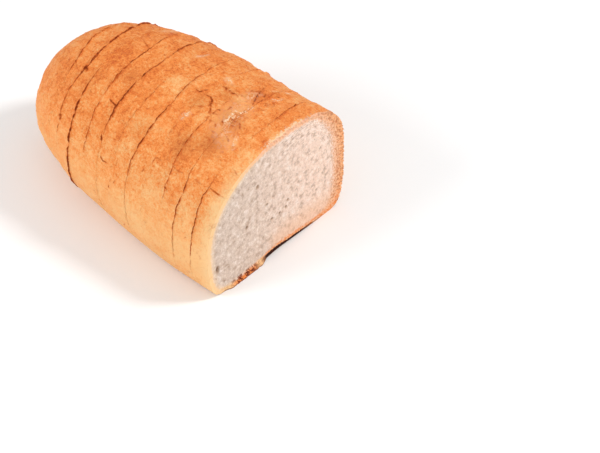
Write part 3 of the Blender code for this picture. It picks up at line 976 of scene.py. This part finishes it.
crumbLook = {
    "shadedCrumb": linear(215, 192, 175), "litCrumb": linear(243, 211, 191), "pore": linear(172, 142, 122),
    "bubble": linear(172, 142, 116), "light": linear(255, 240, 230), "crustSide": linear(206, 110, 52),
    "cream": linear(250, 204, 150), "glow": linear(250, 212, 170), "peach": linear(245, 190, 150),
    "pinkEdge": linear(244, 190, 156), "bakedRim": linear(250, 184, 132), "speck": linear(190, 112, 72),
    # the first colour on the next line is painted shade inside a knife cut
    "cut": linear(140, 46, 12), "bottom": linear(238, 142, 78), "burnt": linear(50, 18, 10),
    "flake": linear(122, 54, 30),
    "noises": (  # mottle, speck, grain and blot: size in m, detail, roughness
        (0.006, 4.0, 0.6), (0.0020, 3.0, 0.6), (0.0009, 3.0, 0.7), (0.0042, 2.0, 0.6),
    ),
    "blotShares": (0.65, 0.35), "arcNoise": (0.0018, 3.0, 0.65),
    "arcStretch": (0.020, 0.0018),  # round the loaf, and by the depth under the crust
    "ragged": (7.0, 4.0, -5.5), "raggedFar": (1.7, 0.6), "rimWidth": (9.5, 3.4), "holeShadeShare": 0.75,
    "footRagged": 0.35, "flakeShare": (0.8, 0.2),
    # as in bake; depths under the crust are in mm
    "warmer": (-0.05, 0.045), "arcsAcross": (-0.012, 0.012), "arcsUp": (0.028, 0.050),
    "arcsDepth": (26.0, 12.0), "darkShade": (0.50, 0.36, 0.0, 0.62),
    "lightShade": (0.52, 0.64, 0.0, 0.45), "lightFine": (0.51, 0.64, 0.0, 0.48),
    "darkFine": (0.49, 0.38, 0.0, 0.34), "far": (0.030, 0.056), "top": (-0.040, -0.005),
    "lowUp": (0.026, 0.008, 0.0, 0.45), "lowAcross": (-0.012, 0.0), "nearSide": (-0.010, -0.040),
    "glowDepth": (8.0, 1.5, 0.0, 0.6), "softRim": (1.20, 0.55), "hardRim": (0.52, 0.18),
    "speckFine": (0.52, 0.43, 0.0, 0.75), "speckDepth": (16.0, 6.0), "foot": (0.012, 0.008),
    "right": (-0.018, -0.010), "lipLeft": (-0.056, -0.048), "lipRight": (-0.008, -0.014),
    "footDepth": (5.6, 2.8), "flakyLeft": (-0.047, -0.036), "flakyRight": (-0.016, -0.026),
    "footFine": (0.46, 0.56), "flakeSpeck": (0.53, 0.46), "flakeUp": (0.0045, 0.0030),
    "outline": (0.0009, 0.0004, 0.0, 0.8), "burntAcross": (0.050, 0.020),
    "burntThick": (0.012, -0.008, 0.0, 1.3), "burntDepth": (1.4, 0.9),
    "behindFace": (faceX - 0.004, faceX - 0.008), "underCrust": (3.4, 2.0), "cutDepth": (4.5, 2.5),
    "bumps": ((0.35, 0.0012), (0.4, 0.0006)),
    "surface": {
        "Roughness": 0.85, "Specular IOR Level": 0.2, "Subsurface Weight": 0.15,
        "Subsurface Radius": (1.0, 0.75, 0.5), "Subsurface Scale": 0.0012,
    },
}


def crumbMaterial():
    look = crumbLook
    material, tree, shader = newMaterial("openCrumb", look)
    rise, lay, times, plus, scaled, most, own = nodeTools(tree, look)
    length, across, height, mottle, speck, grain, blot = placeNodes(tree, look)
    depth = own("rimDepth")
    # painted light and shade across the open face: lighter towards the far side, greyer and darker towards
    # the near side
    colour = mixNode(tree, rise(across, "warmer"), look["shadedCrumb"], look["litCrumb"])
    shade = scaled(blot, look["blotShares"][0], times(mottle, look["blotShares"][1]))
    # high on the far side the pores lie in arcs along the crust
    stretched = [times(source, reach) for source, reach in zip((own("around"), depth), look["arcStretch"])]
    arcs = addNode(tree, "CombineXYZ", dict(enumerate(stretched)))[0]
    lies = times(rise(across, "arcsAcross"), rise(height, "arcsUp"), rise(depth, "arcsDepth"))
    shade = plus(shade, times(lies, plus(noiseNode(tree, arcs, *look["arcNoise"]), -0.5)))
    fine = scaled(grain, 0.5, times(speck, 0.5))
    colour = lay(colour, pore=rise(shade, "darkShade"), light=rise(shade, "lightShade"))
    colour = lay(colour, light=rise(fine, "lightFine"), pore=rise(fine, "darkFine"))
    # painted shade inside the open face's larger holes
    colour = lay(colour, bubble=times(own("bubble"), look["holeShadeShare"]))
    # the rim: cream on the near side, pinkish on top, broad, baked and shaggy on the far side
    far = rise(across, "far")
    top = rise(across, "top")
    byGrain, bySpeck, start = look["ragged"]
    ragged = scaled(grain, byGrain, scaled(speck, bySpeck, start))
    ragged = times(ragged, scaled(far, *look["raggedFar"]))
    rim = mathNode(tree, "DIVIDE", plus(depth, ragged), scaled(far, *look["rimWidth"]))
    soft = mixNode(tree, top, look["cream"], look["peach"])
    edge = mixNode(tree, top, look["cream"], mixNode(tree, far, look["pinkEdge"], look["bakedRim"]))
    colour = lay(colour, peach=times(rise(height, "lowUp"), rise(across, "lowAcross")))
    colour = lay(colour, glow=times(rise(across, "nearSide"), rise(depth, "glowDepth")))
    colour = mixNode(tree, rise(rim, "softRim"), colour, soft)
    colour = mixNode(tree, rise(rim, "hardRim"), colour, edge)
    colour = lay(colour, speck=times(rise(fine, "speckFine"), rise(depth, "speckDepth"), far))
    # along the foot: orange grains over painted shadow where the bottom crust stands off the floor, with torn
    # brown flakes left of the middle
    foot = rise(height, "foot")
    right = rise(across, "right")
    lipped = times(rise(across, "lipLeft"), rise(across, "lipRight"))
    raised = scaled(ragged, look["footRagged"], depth)
    grains = times(foot, rise(raised, "footDepth"), most(right, lipped))
    flaky = times(rise(across, "flakyLeft"), rise(across, "flakyRight"))
    torn = mixNode(tree, most(right, flaky), look["cream"], look["bottom"])
    torn = lay(torn, peach=times(right, rise(fine, "footFine")))
    colour = mixNode(tree, grains, colour, torn)
    flakes = times(lipped, rise(speck, "flakeSpeck"), scaled(flaky, *look["flakeShare"]))
    flakes = times(flakes, rise(height, "flakeUp"))
    colour = lay(colour, flake=most(flakes, times(lipped, rise(height, "outline"))))
    # near-black painted shadow in the gap under the lifted bottom crust, over the crust's darker underside
    under = mathNode(tree, "SUBTRACT", raised, rise(across, "burntThick"))
    burnt = times(foot, times(right, rise(across, "burntAcross")), rise(under, "burntDepth"))
    colour = lay(colour, burnt=burnt)
    # inside a knife cut, just under the crust: the crust's own colour, and painted shade where the cut gapes
    colour = lay(colour, crustSide=times(rise(length, "behindFace"), rise(depth, "underCrust")))
    colour = lay(colour, cut=times(own("crease"), rise(depth, "cutDepth")))
    roughen(tree, shader, look, speck, grain, {"Base Color": colour})
    return material


# The pieces, cut one by one from the whole skin
crust = crustMaterial()
crumb = crumbMaterial()
wholeSkin = makeSkin(crust, crumb)
for number, name in enumerate(sliceNames):
    slabObject = makeSlab(number, crust, crumb)
    mesh = cutSlice(wholeSkin, slabObject)
    bpy.data.objects.remove(slabObject)
    pieceName = "heelCrust" if name == "heel" else "sliceOfBread_" + name[-2:]
    mesh.name = pieceName
    paintSlice(mesh)
    mesh.shade_smooth()
    mesh.set_sharp_from_angle(angle=math.radians(55))
    piece = addObject(pieceName, mesh)
    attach(piece, "root")
    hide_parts(name)
    triangles = sum(len(p.vertices) - 2 for p in mesh.polygons)
    print(pieceName, triangles, "triangles")
bpy.data.objects.remove(wholeSkin)

# Floor, light and camera
studio = {
    "floorSize": 6.0,
    "surface": {"Base Color": (0.94, 0.94, 0.94, 1.0), "Roughness": 0.8},
    "sky": {"Color": (1.0, 1.0, 1.0, 1.0), "Strength": 0.63},
    "lights": {  # place, size and power
        "keyLight": ((0.9, 0.7, 1.3), 0.35, 13.0),
        "fillLight": ((-0.55, -1.3, 0.95), 0.7, 11.5),
    },
    "aim": (0.0, 0.0, 0.04),
    "cameraPlace": (0.8406, -0.8259, 1.05),
    "cameraTurns": (47.19, 0.0, 41.316),
    "lens": 145.67,
    "sensor": 36.0,
}


def makeFloor():
    base = bmesh.new()
    bmesh.ops.create_grid(base, x_segments=1, y_segments=1, size=studio["floorSize"] / 2)
    floor = meshObject("paleFloor", base, newMaterial("paleFloor", studio)[0])


def makeLights():
    for name, (place, size, power) in studio["lights"].items():
        light = bpy.data.lights.new(name, "AREA")
        light.shape = "DISK"
        light.size = size
        light.energy = power
        lamp = addObject(name, light)
        lamp.location = place
        lamp.rotation_euler = (Vector(studio["aim"]) - Vector(place)).to_track_quat("-Z", "Y").to_euler()
    world = bpy.data.worlds.new("softSky")
    world.use_nodes = True
    fillSockets(world.node_tree, world.node_tree.nodes["Background"], studio["sky"])
    bpy.context.scene.world = world


def makeCamera():
    camera = bpy.data.cameras.new("photoCamera")
    camera.lens = studio["lens"]
    camera.sensor_width = studio["sensor"]
    photoCamera = addObject("photoCamera", camera)
    photoCamera.location = studio["cameraPlace"]
    photoCamera.rotation_euler = [math.radians(turn) for turn in studio["cameraTurns"]]
    bpy.context.scene.camera = photoCamera
    bpy.context.scene.view_settings.view_transform = "Standard"


makeFloor()
makeLights()
makeCamera()
print("studio set")
